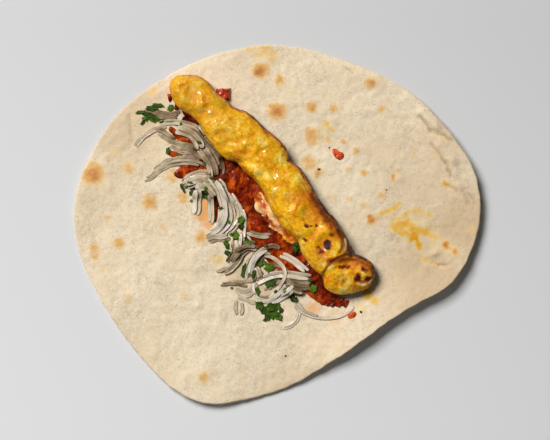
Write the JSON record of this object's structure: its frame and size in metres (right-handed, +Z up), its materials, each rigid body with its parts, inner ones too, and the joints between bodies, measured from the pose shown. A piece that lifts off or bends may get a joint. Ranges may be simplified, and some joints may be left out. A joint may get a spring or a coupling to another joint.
{
  "type": "open kebab wrap",
  "caption": "Open kebab wrap lying flat: a thin toasted flatbread with grilled yellow chicken pieces in a row, chunky red sauce, sliced onion and parsley.",
  "frame": {"origin": "middle of the bounding box, on the table under the bread", "axes": "+X to the right of the picture, +Y up the picture, +Z up from the table"},
  "size_m": [0.305, 0.2696, 0.0247],
  "materials": {
    "flatbread": "dry baked flatbread, cream with brown toasted spots and bran flecks",
    "grilled_chicken": "saffron-yellow grilled chicken, oily, with charred spots and brown edges",
    "torn_chicken": "pale orange torn chicken fibres, moist",
    "red_sauce": "chunky cooked red pepper and tomato sauce, oily and glossy",
    "red_pepper": "soft cooked red pepper, glossy",
    "onion": "thin raw white onion slices, translucent and moist",
    "parsley": "fresh chopped parsley leaves, dark green"
  },
  "bodies": {
    "root": {"flatbread": "flatbread", "chicken_piece_1": "grilled_chicken", "chicken_piece_2": "grilled_chicken", "chicken_piece_3": "grilled_chicken", "chicken_piece_4": "grilled_chicken", "chicken_piece_5": "grilled_chicken", "torn_chicken_strip": "torn_chicken", "red_sauce": "red_sauce", "red_pepper_piece": "red_pepper", "onion_salad": "onion", "parsley_sprig_upper": "parsley", "parsley_sprig_lower": "parsley"}
  },
  "joints": []
}
